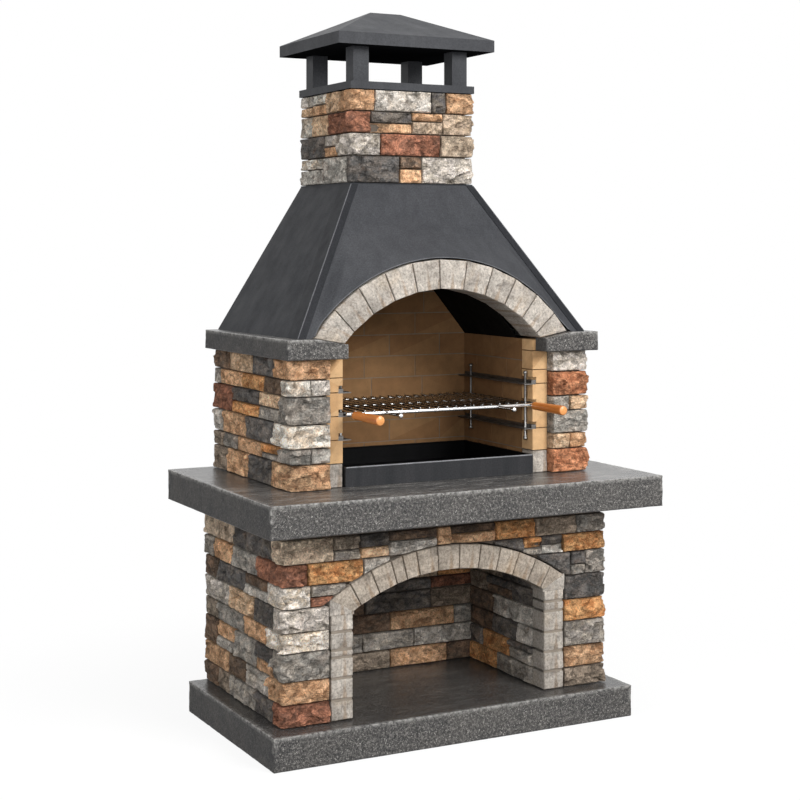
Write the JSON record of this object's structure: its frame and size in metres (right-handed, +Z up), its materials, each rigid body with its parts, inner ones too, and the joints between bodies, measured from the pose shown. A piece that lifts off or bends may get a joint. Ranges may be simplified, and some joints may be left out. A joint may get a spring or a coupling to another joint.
{
  "type": "masonry barbecue",
  "caption": "Free-standing stone-faced barbecue with an arched wood store, a granite worktop, a firebrick fire space with a sliding grill and tray, a steel hood and a chimney.",
  "frame": {"origin": "on the ground, under the middle of the worktop", "axes": "+X to the right as seen by the cook, +Y to the back, +Z up"},
  "size_m": [1.36, 0.864, 2.298],
  "materials": {
    "granite": "rough sawn dark granite, smoother on top",
    "ledgestone": "split-face stone in mixed greys, tans and browns",
    "limestone": "pale, grainy, bush-hammered",
    "firebrick": "matte fired clay",
    "block_core": "plain cast block, hidden behind the facing",
    "hood_steel": "satin charcoal paint",
    "rail_steel": "dull bare steel",
    "grill_steel": "bright plated wire",
    "tray_steel": "matte black heat-proof paint",
    "handle_wood": "varnished"
  },
  "bodies": {
    "masonry": {"cap_collar": "hood_steel", "cap_posts": "hood_steel", "cap_roof": "hood_steel", "chimney_back_stones": "ledgestone", "chimney_front_stones": "ledgestone", "chimney_left_stones": "ledgestone", "chimney_right_stones": "ledgestone", "fire_arch_stones": "limestone", "firebrick_back_wall": "firebrick", "firebrick_left_jamb": "firebrick", "firebrick_left_wall": "firebrick", "firebrick_right_jamb": "firebrick", "firebrick_right_wall": "firebrick", "flue_block": "block_core", "grill_rails_left": "rail_steel", "grill_rails_right": "rail_steel", "hood_arch_flashing": "hood_steel", "hood_back_panel": "hood_steel", "hood_corner_strips": "hood_steel", "hood_front_panel": "hood_steel", "hood_left_panel": "hood_steel", "hood_right_panel": "hood_steel", "hood_top_plate": "hood_steel", "jamb_base_blocks": "limestone", "lower_back_core": "block_core", "lower_back_ledgestones": "ledgestone", "lower_front_left_quoins": "ledgestone", "lower_front_lintel": "block_core", "lower_front_right_quoins": "ledgestone", "lower_left_core": "block_core", "lower_left_ledgestones": "ledgestone", "lower_right_core": "block_core", "lower_right_ledgestones": "ledgestone", "lower_spandrel_stones": "ledgestone", "mantel_back_slab": "granite", "mantel_left_slab": "granite", "mantel_right_slab": "granite", "plinth_slab": "granite", "rail_tie_rods": "rail_steel", "smoke_baffles": "hood_steel", "store_arch_stones": "limestone", "store_back_stones": "ledgestone", "store_left_jamb_blocks": "limestone", "store_left_stones": "ledgestone", "store_right_jamb_blocks": "limestone", "store_right_stones": "ledgestone", "upper_back_core": "block_core", "upper_back_ledgestones": "ledgestone", "upper_left_core": "block_core", "upper_left_ledgestones": "ledgestone", "upper_left_quoins": "ledgestone", "upper_right_core": "block_core", "upper_right_ledgestones": "ledgestone", "upper_right_quoins": "ledgestone", "worktop_slab": "granite"},
    "grill": {"grill_frame": "grill_steel", "grill_wires": "grill_steel", "grill_left_handle": "handle_wood", "grill_right_handle": "handle_wood"},
    "tray": {"fire_tray": "tray_steel"}
  },
  "joints": [
    {"name": "grill_slide", "type": "slide", "parent": "masonry", "child": "grill", "axis": [0, -1, 0], "range_m": [0, 0.42]},
    {"name": "tray_slide", "type": "slide", "parent": "masonry", "child": "tray", "axis": [0, -1, 0], "range_m": [0, 0.45]}
  ]
}
